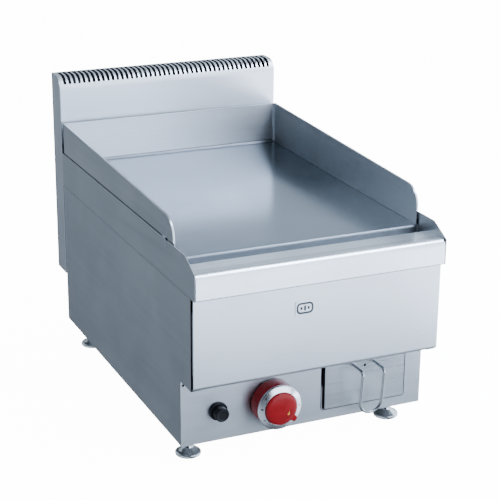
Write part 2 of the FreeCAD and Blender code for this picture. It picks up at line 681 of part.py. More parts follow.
def gas_valve_body():
    """Brass valve body with its neck, inlet and outlet bosses, bored for the stem."""
    body = joined([
        box((KNOB_X - VALVE_HALF, KNOB_X + VALVE_HALF), (VALVE_FRONT, VALVE_REAR),
            (KNOB_Z - 19, KNOB_Z + 19)),
        rod((KNOB_X, NECK_FRONT, KNOB_Z), (KNOB_X, VALVE_FRONT + 1, KNOB_Z), NECK_R),
        rod((KNOB_X - VALVE_HALF - 8, -236, INLET_Z), (KNOB_X, -236, INLET_Z), 8.0),
        rod((KNOB_X, -246, KNOB_Z), (KNOB_X, -246, KNOB_Z + 26), 7.0),
        rod((KNOB_X + 10, VALVE_REAR + 5, 100), (KNOB_X + 10, VALVE_REAR - 1, 100), 4.0),
    ])
    bore = rod((KNOB_X, NECK_FRONT - 1, KNOB_Z), (KNOB_X, NECK_FRONT + 42, KNOB_Z), STEM_R + RUNNING)
    return body.cut([bore])


def valve_bracket():
    """Small U bracket that hangs the valve behind the control panel."""
    x = (KNOB_X - 33, KNOB_X + 33)
    z = (KNOB_Z - 24, KNOB_Z + 24)
    outer = box(x, (PANEL_BACK, VALVE_FRONT), z)
    inner = box((x[0] + SHEET, x[1] - SHEET), (PANEL_BACK - 1, VALVE_FRONT - SHEET),
                (z[0] - 1, z[1] + 1))
    hole = rod((KNOB_X, VALVE_FRONT - 5, KNOB_Z), (KNOB_X, VALVE_FRONT + 5, KNOB_Z), NECK_R)
    return outer.cut([inner, hole])


def valve_spring():
    """Return spring of the valve stem, as a sleeve of its outer and inner diameter."""
    return sleeve((KNOB_X, NECK_FRONT - 4.2, KNOB_Z), (KNOB_X, NECK_FRONT, KNOB_Z), 6.6, 5.4)


def spring_seat():
    """Thrust washer that the spring presses on."""
    front = NECK_FRONT - 5.4
    return sleeve((KNOB_X, front, KNOB_Z), (KNOB_X, front + 1.0, KNOB_Z), 7.5, STEM_R + RUNNING)


def valve_stem():
    """Stem from inside the valve to the knob's hub, with a collar in front of the thrust washer."""
    return joined([
        rod((KNOB_X, NECK_FRONT + 37, KNOB_Z), (KNOB_X, PANEL_FACE - 25, KNOB_Z), STEM_R),
        rod((KNOB_X, NECK_FRONT - 5.7, KNOB_Z), (KNOB_X, NECK_FRONT - 8.0, KNOB_Z), 6.0),
    ])


def knob_body():
    """Red skirt of the knob with its front wall and hub."""
    back = PANEL_FACE - KNOB_TRAVEL - 0.6
    front = KNOB_SEAT
    profile = [(STEM_R, back - 2), (8.0, back - 2), (8.0, front + 3), (KNOB_R - 3.2, front + 3),
               (KNOB_R - 3.6, back), (KNOB_R - 1.4, back), (KNOB_R - 0.6, back - 2),
               (KNOB_R - 0.2, front), (STEM_R, front)]
    return turned(profile, (KNOB_X, 0, KNOB_Z), ALONG_Y)


def knob_ring():
    """Bevelled chrome ring round the knob's front."""
    seat = KNOB_SEAT
    profile = [(CAP_R + 0.4, seat), (KNOB_R, seat), (KNOB_R, seat - 2.6),
               (KNOB_R - 0.8, seat - 3.6), (CAP_R + 1.2, seat - 7.0), (CAP_R + 0.4, seat - 6.6)]
    return turned(profile, (KNOB_X, 0, KNOB_Z), ALONG_Y)


def knob_cap():
    """Domed red cap with a pointer that reaches over the ring."""
    seat = KNOB_SEAT
    centre = (KNOB_X, 0, KNOB_Z)
    rim = seat - 9.0
    profile = [(0, seat), (CAP_R, seat), (CAP_R, rim)]
    for degrees in range(15, 90, 15):
        angle = math.radians(degrees)
        profile.append((CAP_R * math.cos(angle), rim - CAP_DOME * math.sin(angle)))
    profile.append((0, rim - CAP_DOME))
    dome = turned(profile, centre, ALONG_Y)
    pointer = box((KNOB_X - 4.5, KNOB_X + 4.5), (rim - 1.8, rim), (KNOB_Z + 12, KNOB_Z + 31))
    pointer.rotate(V(*centre), ALONG_Y, POINTER_ANGLE)
    return joined([dome, pointer])


def gas_inlet_nipple():
    """Threaded gas connection through the rear panel."""
    thread = INLET_THREAD_R
    profile = [(7.0, 262), (13.0, 262), (13.0, REAR_PANEL_IN), (10.0, REAR_PANEL_IN), (10.0, 283),
               (thread, 283), (thread, 297), (thread - 1, 298), (7.0, 298)]
    return turned(profile, (INLET_X, 0, INLET_Z), ALONG_Y)


def gas_feed_pipe():
    """Pipe from the inlet to the valve."""
    route = [(INLET_X, 262, INLET_Z), (INLET_X, -236, INLET_Z), (KNOB_X - VALVE_HALF - 8, -236, INLET_Z)]
    return pipe(route, FEED_R, 18.0).cut([pipe(route, FEED_R - 1.0, 18.0)])


def burner_pipe():
    """Pipe from the valve to the injector."""
    elbow_y = sum(ELBOW_Y) / 2
    route = [(KNOB_X, -246, KNOB_Z + 26), (KNOB_X, -246, 180), (0, elbow_y, 205),
             (0, elbow_y, BURNER_Z - 10)]
    return pipe(route, 5.0, 15.0)


def pilot_pipe():
    """Thin pipe from the valve to the pilot burner."""
    route = [(KNOB_X + 10, VALVE_REAR + 5, 100), (KNOB_X + 10, -190, 100), (PILOT_X, PILOT_Y, 190),
             (PILOT_X, PILOT_Y, 226)]
    return pipe(route, 2.0, 12.0)


def pilot_burner():
    """Pilot burner with a small hood."""
    profile = [(0, 226), (4.0, 226), (4.0, 254), (5.5, 258), (5.5, 268), (0, 268)]
    return turned(profile, (PILOT_X, PILOT_Y, 0), ALONG_Z)


def thermocouple():
    """Flame sensor and its capillary back to the valve."""
    x = PILOT_X - PILOT_SPACING
    route = [(KNOB_X - 10, VALVE_REAR, 100), (KNOB_X - 10, -195, 100), (x, PILOT_Y, 185), (x, PILOT_Y, 223)]
    return joined([pipe(route, 1.2, 12.0), rod((x, PILOT_Y, 222), (x, PILOT_Y, 272), 2.6)])


def spark_electrode():
    """Ceramic body with a metal tip."""
    x = PILOT_X + PILOT_SPACING
    profile = [(0, 226), (2.2, 226), (3.2, 228), (3.2, 258), (0.9, 260), (0.9, 274), (0, 274)]
    return turned(profile, (x, PILOT_Y, 0), ALONG_Z)


def ignition_wire():
    """High-voltage lead from the igniter to the electrode."""
    x = PILOT_X + PILOT_SPACING
    route = [(IGNITER_X, -203, IGNITER_Z), (IGNITER_X, -176, IGNITER_Z), (-120, -156, 122),
             (x, PILOT_Y, 184), (x, PILOT_Y, 226)]
    return pipe(route, 1.8, 11.0)


def igniter_housing():
    """Barrel of the piezo igniter with its bezel in front of the panel."""
    bore = IGNITER_BUTTON_R + 0.3
    barrel = IGNITER_BARREL_R
    face = PANEL_FACE
    profile = [(bore, face - 6), (BEZEL_R - 1.2, face - 6), (BEZEL_R, face - 4.8), (BEZEL_R, face),
               (barrel, face), (barrel, -240), (7.0, -240), (7.0, -203), (0, -203), (0, -244),
               (bore, -244)]
    return turned(profile, (IGNITER_X, 0, IGNITER_Z), ALONG_Y)


def igniter_button():
    """Push button of the igniter, hollow from behind."""
    front = PANEL_FACE - 20
    rear = PANEL_FACE + 7
    radius = IGNITER_BUTTON_R
    profile = [(0, front), (radius - 1.5, front), (radius - 0.4, front + 0.5), (radius, front + 1.6),
               (radius, rear), (7.6, rear), (7.6, front + 4), (0, front + 4)]
    return turned(profile, (IGNITER_X, 0, IGNITER_Z), ALONG_Y)


def igniter_spring():
    """Return spring of the igniter button, as a sleeve of its outer and inner diameter."""
    start = (IGNITER_X, PANEL_FACE - 16, IGNITER_Z)
    return sleeve(start, (IGNITER_X, -244, IGNITER_Z), 6.4, 5.4)


# ---- grease drawer ----

def grease_chute():
    """Right end of the gutter with its drain, and the pipe from there down to the drawer."""
    end = worktop_front_sheet().common(gutter_end_space())
    line = (DRAIN_X, DRAIN_Y, GUTTER_Z - SHEET), (DRAIN_X, DRAIN_Y, DRAWER_FRONT_Z[1] + 4)
    bore = rod((DRAIN_X, DRAIN_Y, GUTTER_Z + 5), line[1], DRAIN_R)
    return joined([end, rod(*line, DRAIN_R + 1)]).cut(bore)


def grease_drawer():
    """Tray with its front plate."""
    t = TRAY_SHEET
    front_y = (PANEL_FACE + 0.4, PANEL_FACE + 1.6)
    tray = box(TRAY_X, (front_y[1] - 0.1, TRAY_REAR), TRAY_Z)
    hollow = box((TRAY_X[0] + t, TRAY_X[1] - t), (front_y[1], TRAY_REAR - t),
                 (TRAY_Z[0] + t, TRAY_Z[1] + 1))
    plate = rounded_window(DRAWER_FRONT_X, front_y, DRAWER_FRONT_Z, 3.0)
    hole = rod((102, front_y[0] - 1, 118.5), (102, front_y[1] + 1, 118.5), 2.25)
    return joined([tray.cut([hollow]), plate]).cut([hole])


def drawer_handle():
    """Bent wire handle welded to the drawer's front."""
    back = PANEL_FACE + 0.4
    out = PANEL_FACE - HANDLE_OUT
    left = HANDLE_X - HANDLE_HALF
    right = HANDLE_X + HANDLE_HALF
    low = PANEL_FACE - HANDLE_OUT + HANDLE_LEAN
    bottom = 52.0
    route = [(left, back, HANDLE_TOP), (left, out, HANDLE_TOP), (left, low, bottom),
             (right, low, bottom), (right, out, HANDLE_TOP), (right, back, HANDLE_TOP)]
    points = [V(*point) for point in route]
    path = Part.Wire(rounded(points, [7.0, HANDLE_HALF - 0.01, HANDLE_HALF - 0.01, 7.0]))
    section = Part.Wire(Part.makeCircle(HANDLE_R, points[0], V(0, -1, 0)))
    return path.makePipeShell([section], True, False)


def drawer_runners():
    """Two angles that the tray slides on, hung from the panel and footed on the floor."""
    y = (PANEL_BACK, TRAY_REAR + 20)
    solids = []
    for outer, inward in ((OPENING_X[0] + 2, 1), (OPENING_X[1] + 4, -1)):
        web = sorted((outer, outer + inward * SHEET))
        ledge = sorted((outer, outer + inward * 18))
        solids.append(joined([
            box(web, y, (RUNNER_TOP - SHEET, 95)),
            box(ledge, (y[0] + 1, y[1]), (RUNNER_TOP - SHEET, RUNNER_TOP)),
            box(ledge, (y[1] - SHEET, y[1]), (FLOOR_TOP, RUNNER_TOP)),
        ]))
    return Part.makeCompound(solids)


# ---- feet and fasteners ----

def foot(corner):
    """Chromed foot: a dished disc on a threaded stem."""
    x, y = FEET[corner]
    profile = [(0, 0), (FOOT_R - 2.4, 0), (FOOT_R, 3), (FOOT_R, 5.5), (FOOT_R - 1.2, 7), (9.0, 12.5),
               (6.5, 16), (FOOT_STEM_R, 16.5), (FOOT_STEM_R, 53), (0, 53)]
    return turned(profile, (x, y, 0), ALONG_Z)


def hex_nuts():
    """Nuts of the feet, the igniter and the gas inlet."""
    nuts = [nut((x, y, FLOOR_TOP), ALONG_Z, 17, 9, FOOT_STEM_R + 0.05) for x, y in FEET.values()]
    nuts.append(nut((IGNITER_X, PANEL_BACK, IGNITER_Z), ALONG_Y, 32, 5, IGNITER_BARREL_R))
    nuts.append(nut((INLET_X, REAR_PANEL_OUT, INLET_Z), ALONG_Y, 27, 6.8, 10.0))
    return Part.makeCompound(nuts)


def floor_screws():
    """Screws that hold the floor to the side panels and the control panel."""
    screws = []
    for x, y in FLOOR_SCREWS:
        seat = FOOT_HEIGHT
        profile = [(0, seat - 2.2), (2.6, seat - 2.2), (3.6, seat - 1), (3.6, seat), (SCREW_R, seat),
                   (SCREW_R, FLOOR_TOP + 4), (0, FLOOR_TOP + 4)]
        screws.append(turned(profile, (x, y, 0), ALONG_Z))
    return Part.makeCompound(screws)


PARTS = {
    "control_panel": control_panel,
    "front_fascia": front_fascia,
    "fascia_brackets": fascia_brackets,
    "badge": badge,
    "rear_panel": rear_panel,
    "bottom_plate": bottom_plate,
    "heat_shield": heat_shield,
    "worktop_front": worktop_front,
    "worktop_rear_rail": worktop_rear_rail,
    "worktop_seals": worktop_seals,
    "support_rails": support_rails,
    "griddle_plate": griddle_plate,
    "splash_back": splash_back,
    "flue_front": flue_front,
    "flue_side_caps": flue_side_caps,
    "flue_back": flue_back,
    "flue_collar": flue_collar,
    "firebox": firebox,
    "burner_manifold": burner_manifold,
    "venturi_tube": venturi_tube,
    "burner_brackets": burner_brackets,
    "injector_bracket": injector_bracket,
    "injector": injector,
    "gas_valve_body": gas_valve_body,
    "valve_bracket": valve_bracket,
    "valve_spring": valve_spring,
    "spring_seat": spring_seat,
    "valve_stem": valve_stem,
    "knob_body": knob_body,
    "knob_ring": knob_ring,
    "knob_cap": knob_cap,
    "gas_inlet_nipple": gas_inlet_nipple,
    "gas_feed_pipe": gas_feed_pipe,
    "burner_pipe": burner_pipe,
    "pilot_pipe": pilot_pipe,
    "pilot_burner": pilot_burner,
    "thermocouple": thermocouple,
    "spark_electrode": spark_electrode,
    "ignition_wire": ignition_wire,
    "igniter_housing": igniter_housing,
    "igniter_button": igniter_button,
    "igniter_spring": igniter_spring,
    "grease_chute": grease_chute,
    "grease_drawer": grease_drawer,
    "drawer_handle": drawer_handle,
    "drawer_runners": drawer_runners,
    "hex_nuts": hex_nuts,
    "floor_screws": floor_screws,
}
SIDED_PARTS = {
    "{}_side_panel": side_panel,
    "worktop_{}_wall": worktop_wall,
    "splash_{}": splash_side,
    "burner_tube_{}": burner_tube,
}


def write(name, shape):
    """Write one node's solids, after checking that they are sound."""
    solids = shape.Solids
    if not solids or not shape.isValid():
        raise ValueError(name + " is not a sound solid")
    whole = solids[0] if len(solids) == 1 else Part.makeCompound(solids)
    whole.exportStep("parts/" + name + ".step")


os.makedirs("parts", exist_ok=True)
for part_name, make in PARTS.items():
    write(part_name, make())
for pattern, make in SIDED_PARTS.items():
    for hand in ("left", "right"):
        write(pattern.format(hand), make(hand))
for place in FEET:
    write("foot_" + place, foot(place))
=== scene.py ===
import json
import math

import bmesh
import bpy
from mathutils import Matrix, Vector

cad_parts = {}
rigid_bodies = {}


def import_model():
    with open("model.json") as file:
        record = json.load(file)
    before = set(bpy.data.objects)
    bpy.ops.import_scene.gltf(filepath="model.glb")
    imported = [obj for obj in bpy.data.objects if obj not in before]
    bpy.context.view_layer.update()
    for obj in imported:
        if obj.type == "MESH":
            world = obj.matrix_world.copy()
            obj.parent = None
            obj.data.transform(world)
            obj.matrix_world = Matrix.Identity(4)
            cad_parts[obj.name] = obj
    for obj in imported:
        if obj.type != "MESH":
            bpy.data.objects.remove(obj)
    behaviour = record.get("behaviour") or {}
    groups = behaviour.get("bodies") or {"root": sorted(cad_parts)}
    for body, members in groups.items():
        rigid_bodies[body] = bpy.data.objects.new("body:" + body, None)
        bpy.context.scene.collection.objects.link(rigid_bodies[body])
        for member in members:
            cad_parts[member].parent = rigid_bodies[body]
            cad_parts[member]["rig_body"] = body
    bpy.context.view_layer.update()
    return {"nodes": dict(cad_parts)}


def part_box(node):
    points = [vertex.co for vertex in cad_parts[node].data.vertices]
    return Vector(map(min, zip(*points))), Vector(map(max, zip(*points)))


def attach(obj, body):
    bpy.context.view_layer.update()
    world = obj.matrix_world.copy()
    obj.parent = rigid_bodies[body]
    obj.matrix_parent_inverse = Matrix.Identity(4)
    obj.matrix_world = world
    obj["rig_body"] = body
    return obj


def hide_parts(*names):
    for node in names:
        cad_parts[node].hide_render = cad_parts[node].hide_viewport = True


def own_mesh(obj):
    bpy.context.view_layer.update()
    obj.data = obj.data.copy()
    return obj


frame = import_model()
NODES = frame["nodes"]
MM = 0.001


# ---------------------------------------------------------------- materials

class Shader:
    """A Principled material and short calls for the nodes that feed it."""

    def __init__(self, name, color, metallic=0.0, roughness=0.4, **sockets):
        self.material = bpy.data.materials.new(name)
        self.material.use_nodes = True
        self.tree = self.material.node_tree
        self.bsdf = self.tree.nodes["Principled BSDF"]
        self.bsdf.inputs["Base Color"].default_value = (*color, 1)
        self.bsdf.inputs["Metallic"].default_value = metallic
        self.bsdf.inputs["Roughness"].default_value = roughness
        for key, value in sockets.items():
            self.bsdf.inputs[key.replace("_", " ")].default_value = value
        self.coords = self.node("ShaderNodeTexCoord").outputs["Object"]

    def node(self, kind, **settings):
        made = self.tree.nodes.new(kind)
        for key, value in settings.items():
            setattr(made, key, value)
        return made

    def link(self, output, target):
        self.tree.links.new(output, target)

    def scaled(self, scale):
        node = self.node("ShaderNodeMapping")
        node.inputs["Scale"].default_value = scale
        self.link(self.coords, node.inputs["Vector"])
        return node.outputs["Vector"]

    def noise(self, scale, detail=3.0, rough=0.5, distortion=0.0):
        """Noise whose scale is in features per metre along x, y and z."""
        vector = self.scaled(scale if isinstance(scale, tuple) else (scale,) * 3)
        node = self.node("ShaderNodeTexNoise")
        node.inputs["Scale"].default_value = 1.0
        node.inputs["Detail"].default_value = detail
        node.inputs["Roughness"].default_value = rough
        node.inputs["Distortion"].default_value = distortion
        self.link(vector, node.inputs["Vector"])
        return node.outputs["Fac"]

    def cells(self, scale):
        """Random colours, one to each cell; the scale is in cells per metre."""
        node = self.node("ShaderNodeTexVoronoi")
        node.inputs["Scale"].default_value = 1.0
        self.link(self.scaled((scale,) * 3), node.inputs["Vector"])
        return node.outputs["Color"]

    def remap(self, value, low, high, to_low, to_high):
        """Linear map of low..high onto to_low..to_high, held at both ends."""
        node = self.node("ShaderNodeMapRange")
        ends = {"From Min": low, "From Max": high, "To Min": to_low, "To Max": to_high}
        for key, number in ends.items():
            node.inputs[key].default_value = number
        self.link(value, node.inputs["Value"])
        return node.outputs["Result"]

    def math(self, operation, a, b):
        node = self.node("ShaderNodeMath", operation=operation)
        for socket, value in zip(node.inputs, (a, b)):
            if isinstance(value, (int, float)):
                socket.default_value = value
            else:
                self.link(value, socket)
        return node.outputs[0]

    def mix(self, factor, a, b):
        node = self.node("ShaderNodeMix", data_type="RGBA")
        self.link(factor, node.inputs["Factor"])
        for socket, value in ((node.inputs[6], a), (node.inputs[7], b)):
            if isinstance(value, tuple):
                socket.default_value = (*value, 1)
            else:
                self.link(value, socket)
        return node.outputs[2]

    def worn_edges(self, low=0.53, high=0.62):
        """Near 1 on sharp convex edges, 0 elsewhere."""
        point = self.node("ShaderNodeNewGeometry").outputs["Pointiness"]
        return self.remap(point, low, high, 0.0, 1.0)

    def bump(self, height, strength, distance):
        node = self.node("ShaderNodeBump")
        node.inputs["Strength"].default_value = strength
        node.inputs["Distance"].default_value = distance
        self.link(height, node.inputs["Height"])
        self.link(node.outputs["Normal"], self.bsdf.inputs["Normal"])

    def paint(self, color=None, roughness=None):
        if color is not None:
            self.link(color, self.bsdf.inputs["Base Color"])
        if roughness is not None:
            self.link(roughness, self.bsdf.inputs["Roughness"])
        return self.material


def tinted(color, factor):
    """The colour made lighter or darker, no channel over 1."""
    return tuple(min(1.0, c * factor) for c in color)


def brushed_steel(name, color, grain, roughness=0.34, spread=0.7, depth=0.05):
    """Sheet steel brushed along one axis: fine streaks, faint smudges and brighter rubbed edges."""
    s = Shader(name, color, metallic=1.0, roughness=roughness, Anisotropic=spread)
    along = {"x": 0, "y": 1, "z": 2}[grain]

    def stretched(along_scale, across_scale):
        return tuple(along_scale if k == along else across_scale for k in range(3))

    fine = s.noise(stretched(9.0, 2600.0), 2.0, 0.6)
    coarse = s.noise(stretched(3.0, 420.0), 3.0, 0.6)
    streaks = s.math("ADD", s.math("MULTIPLY", fine, 0.55), s.math("MULTIPLY", coarse, 0.45))
    smudge = s.noise(9.0, 4.0, 0.6, 0.6)
    base = s.mix(s.remap(streaks, 0.3, 0.7, 0.0, 1.0), tinted(color, 0.93), tinted(color, 1.05))
    base = s.mix(s.worn_edges(), base, tinted(color, 1.18))
    rough = s.math("ADD", s.remap(streaks, 0.3, 0.7, roughness - 0.05, roughness + 0.05),
                   s.remap(smudge, 0.45, 0.75, 0.0, 0.05))
    s.bump(streaks, depth, 0.0004)
    axis = s.node("ShaderNodeCombineXYZ")
    axis.inputs[along].default_value = 1.0
    geometry = s.node("ShaderNodeNewGeometry")
    cross = s.node("ShaderNodeVectorMath", operation="CROSS_PRODUCT")
    s.link(geometry.outputs["Normal"], cross.inputs[0])
    s.link(axis.outputs[0], cross.inputs[1])
    s.link(cross.outputs[0], s.bsdf.inputs["Tangent"])
    return s.paint(base, rough)


def polished_plate():
    """Cooking plate, ground and polished: cloudy polish, a faint heat tint, a few hairline scratches."""
    color = (0.265, 0.305, 0.355)
    heat_tint = (0.275, 0.31, 0.35)
    s = Shader("polished_plate", color, metallic=1.0, roughness=0.2, Anisotropic=0.35)
    grain = s.noise((14.0, 1500.0, 1500.0), 2.0, 0.6)
    cloud = s.noise(5.0, 4.0, 0.55, 0.8)
    scratch_a = s.noise((260.0, 3.0, 40.0), 1.0, 0.5, 0.3)
    scratch_b = s.noise((30.0, 900.0, 40.0), 1.0, 0.5, 1.2)
    scratches = s.math("MAXIMUM", s.remap(scratch_a, 0.71, 0.74, 0.0, 1.0),
                       s.remap(scratch_b, 0.75, 0.78, 0.0, 1.0))
    base = s.mix(s.remap(cloud, 0.35, 0.7, 0.0, 1.0), tinted(color, 0.96), heat_tint)
    base = s.mix(s.remap(scratches, 0.0, 1.0, 0.0, 0.25), base, tinted(color, 1.35))
    base = s.mix(s.worn_edges(), base, tinted(color, 1.25))
    rough = s.math("ADD", s.remap(cloud, 0.3, 0.75, 0.15, 0.23), s.remap(grain, 0.3, 0.7, -0.02, 0.03))
    s.bump(grain, 0.035, 0.0003)
    return s.paint(base, rough)


def duct_painted_shade():
    """Inside of the flue: steel painted near-black in patches, painted shade for the dark duct behind
    the slots.
    """
    # The darker and the lighter tone here are both painted shade inside the duct.
    thick, lighter_painted_shade = (0.012, 0.013, 0.017), (0.05, 0.05, 0.055)
    s = Shader("duct_painted_shade", (0.02, 0.021, 0.025), metallic=0.2, roughness=0.8)
    cloud = s.noise(22.0, 5.0, 0.6)
    dust = s.noise(900.0, 3.0, 0.6)
    s.bump(dust, 0.15, 0.0004)
    base = s.mix(s.remap(cloud, 0.35, 0.75, 0.0, 1.0), thick, lighter_painted_shade)
    return s.paint(base, s.remap(cloud, 0.3, 0.7, 0.7, 0.9))


def mill_steel():
    """Plain zinc-coated inner sheet with its mottled crystals."""
    color = (0.46, 0.48, 0.5)
    stained = (0.33, 0.31, 0.29)
    s = Shader("mill_steel", color, metallic=1.0, roughness=0.42)
    cells = s.node("ShaderNodeSeparateColor")
    s.link(s.cells(130.0), cells.inputs[0])
    stain = s.noise(14.0, 5.0, 0.6)
    base = s.mix(cells.outputs[0], tinted(color, 0.84), tinted(color, 1.08))
    base = s.mix(s.remap(stain, 0.5, 0.8, 0.0, 0.6), base, stained)
    rough = s.math("ADD", s.remap(cells.outputs[1], 0.0, 1.0, 0.34, 0.5),
                   s.remap(stain, 0.4, 0.8, 0.0, 0.12))
    s.bump(s.noise(900.0, 3.0), 0.08, 0.0003)
    return s.paint(s.mix(s.worn_edges(), base, tinted(color, 1.3)), rough)


def plated(name, color, roughness, tarnish=0.5):
    """Smooth plated or drawn metal: slight ripple, hazy darker patches and lighter sharp edges."""
    s = Shader(name, color, metallic=1.0, roughness=roughness)
    haze = s.noise(60.0, 4.0, 0.6)
    speck = s.noise(700.0, 2.0, 0.5)
    base = s.mix(s.remap(haze, 0.35, 0.75, 0.0, tarnish), color, tinted(color, 0.72))
    base = s.mix(s.worn_edges(0.54, 0.66), base, tinted(color, 1.15))
    rough = s.math("ADD", s.remap(haze, 0.3, 0.7, roughness * 0.8, roughness * 1.4),
                   s.remap(speck, 0.55, 0.8, 0.0, 0.08))
    s.bump(speck, 0.03, 0.0002)
    return s.paint(base, rough)


def moulded(name, color, roughness, grain=0.12, worn=1.6, **sockets):
    """Moulded plastic or rubber: fine mould texture, slightly uneven gloss and rubbed edges."""
    s = Shader(name, color, roughness=roughness, **sockets)
    fine = s.noise(2200.0, 3.0, 0.6)
    cloud = s.noise(45.0, 3.0, 0.5)
    base = s.mix(s.remap(cloud, 0.3, 0.7, 0.0, 1.0), tinted(color, 0.88), tinted(color, 1.1))
    base = s.mix(s.worn_edges(0.54, 0.64), base, tinted(color, worn))
    rough = s.math("ADD", s.remap(cloud, 0.3, 0.7, roughness - 0.05, roughness + 0.06),
                   s.remap(fine, 0.3, 0.7, -0.02, 0.03))
    s.bump(fine, grain, 0.0003)
    return s.paint(base, rough)


STEEL = (0.60, 0.635, 0.665)
FINISHES = {
    "stainless_x": brushed_steel("stainless_x", STEEL, "x"),
    # Smoother copy of the steel, painted six per cent lighter as highlight.
    "stainless_smooth_painted_highlight": brushed_steel("stainless_smooth_painted_highlight", tinted(STEEL, 1.06), "x", roughness=0.24,
                                    spread=0.6, depth=0.02),
    "stainless_y": brushed_steel("stainless_y", STEEL, "y"),
    "stainless_z": brushed_steel("stainless_z", STEEL, "z"),
    "drawer_steel": brushed_steel("drawer_steel", tinted(STEEL, 1.04), "x", roughness=0.29,
                                  spread=0.5, depth=0.015),
    # Ground plate edge: rougher, and painted darker than the plate as shade.
    "plate_edge_painted_shade": brushed_steel("plate_edge_painted_shade", (0.2, 0.225, 0.255), "x", roughness=0.45),
    # Ground weld: rougher, and painted dark as shade for the seam line at the foot of the back splash.
    "ground_weld_painted_shade": brushed_steel("ground_weld_painted_shade", (0.2, 0.215, 0.235), "x", roughness=0.5),
    # Painted shade for the inside of the flue's duct.
    "duct_painted_shade": duct_painted_shade(),
    "polished_plate": polished_plate(),
    "mill_steel": mill_steel(),
    "wire_steel": plated("wire_steel", (0.43, 0.45, 0.48), 0.14),
    "steel_hardware": plated("steel_hardware", (0.52, 0.52, 0.51), 0.26),
    "foot_chrome": plated("foot_chrome", (0.66, 0.68, 0.7), 0.07, 0.25),
    "knob_chrome": plated("knob_chrome", (0.74, 0.75, 0.77), 0.2, 0.25),
    "brass": plated("brass", (0.64, 0.46, 0.19), 0.24),
    "copper": plated("copper", (0.62, 0.31, 0.18), 0.28, 0.8),
    "knob_red": moulded("knob_red", (0.30, 0.008, 0.012), 0.3, 0.05, 1.3,
                        Specular_IOR_Level=0.22),
    "black_plastic": moulded("black_plastic", (0.009, 0.01, 0.012), 0.42,
                             Specular_IOR_Level=0.25),
    "seal_rubber": moulded("seal_rubber", (0.02, 0.021, 0.023), 0.62, 0.25),
    "badge_steel": brushed_steel("badge_steel", tinted(STEEL, 1.02), "x", roughness=0.33),
    "badge_ink": moulded("badge_ink", (0.012, 0.013, 0.016), 0.34, 0.05),
    "dial_ink": moulded("dial_ink", (0.022, 0.02, 0.022), 0.4, 0.05),
    "flame_ink": moulded("flame_ink", (0.62, 0.33, 0.045), 0.4, 0.05),
    "ceramic": moulded("ceramic", (0.72, 0.69, 0.62), 0.22, 0.05, 1.05),
    "wire_silicone": moulded("wire_silicone", (0.34, 0.05, 0.035), 0.5, 0.15),
}


# ---------------------------------------------------------------- mesh tools

ON_AXIS = 1e-6


def add_object(name, mesh, body, finish, smooth=30.0, second=None):
    """A mesh object in the row frame that rides on a CAD body."""
    piece = bpy.data.objects.new(name, mesh)
    bpy.context.scene.collection.objects.link(piece)
    mesh.materials.append(FINISHES[finish])
    if second:
        mesh.materials.append(FINISHES[second])
    mesh.shade_smooth()
    mesh.set_sharp_from_angle(angle=math.radians(smooth))
    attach(piece, body)
    return piece


def mesh_of(bm, name):
    """Mesh made from the bmesh, which is freed."""
    mesh = bpy.data.meshes.new(name)
    bmesh.ops.recalc_face_normals(bm, faces=bm.faces)
    bm.to_mesh(mesh)
    bm.free()
    return mesh


def skin(node, finish, edge=0.3, smooth=30.0, second=None, is_second=None):
    """A copy of a CAD node with its coplanar triangles merged and its sharp edges broken.

    Faces for which is_second(centre, normal) holds get the second finish.
    """
    source = NODES[node]
    bm = bmesh.new()
    bm.from_mesh(source.data)
    bmesh.ops.remove_doubles(bm, verts=bm.verts, dist=1e-6)
    bmesh.ops.dissolve_limit(bm, angle_limit=math.radians(0.6), verts=bm.verts, edges=bm.edges)
    bm.normal_update()
    name = f"{node}_skin"
    if second:
        for face in bm.faces:
            face.material_index = int(is_second(face.calc_center_median(), face.normal))
    piece = add_object(name, mesh_of(bm, name), source["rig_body"], finish, smooth, second)
    bevel = piece.modifiers.new("broken_edges", "BEVEL")
    bevel.width = edge * MM
    bevel.segments = 2
    bevel.limit_method = "ANGLE"
    bevel.angle_limit = math.radians(smooth)
    bevel.use_clamp_overlap = True
    bevel.miter_outer = "MITER_ARC"
    normals = piece.modifiers.new("flat_faces", "WEIGHTED_NORMAL")
    normals.keep_sharp = True
    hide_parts(node)
    return piece


def finish_node(node, finish):
    """Gives a CAD node its finish and leaves its mesh as it is."""
    for slot in NODES[node].material_slots:
        slot.link = "OBJECT"
        slot.material = FINISHES[finish]


def frame_matrix(origin, direction, up=(0, 0, 1)):
    """Matrix whose z axis is the direction, and whose y axis is as near to up as it can be.

    The origin is in mm.
    """
    z = Vector(direction).normalized()
    x = Vector(up).cross(z).normalized()
    y = z.cross(x)
    rotation = Matrix((x, y, z)).transposed().to_4x4()
    return Matrix.Translation(Vector(origin) * MM) @ rotation


def lathe(bm, profile, steps, matrix):
    """Surface of revolution of a loop of (radius, height) points in mm, about the matrix's z axis."""
    rings = []
    for radius, height in profile:
        count = steps if radius > ON_AXIS else 1
        turns = [2 * math.pi * k / steps for k in range(count)]
        points = [Vector((radius * math.cos(a), radius * math.sin(a), height)) for a in turns]
        rings.append([bm.verts.new(matrix @ (point * MM)) for point in points])
    for a, b in zip(rings, rings[1:] + rings[:1]):
        for k in range(steps):
            corners = [a[k % len(a)], a[(k + 1) % len(a)], b[(k + 1) % len(b)], b[k % len(b)]]
            corners = [v for i, v in enumerate(corners) if v not in corners[:i]]
            if len(corners) > 2:
                bm.faces.new(corners)


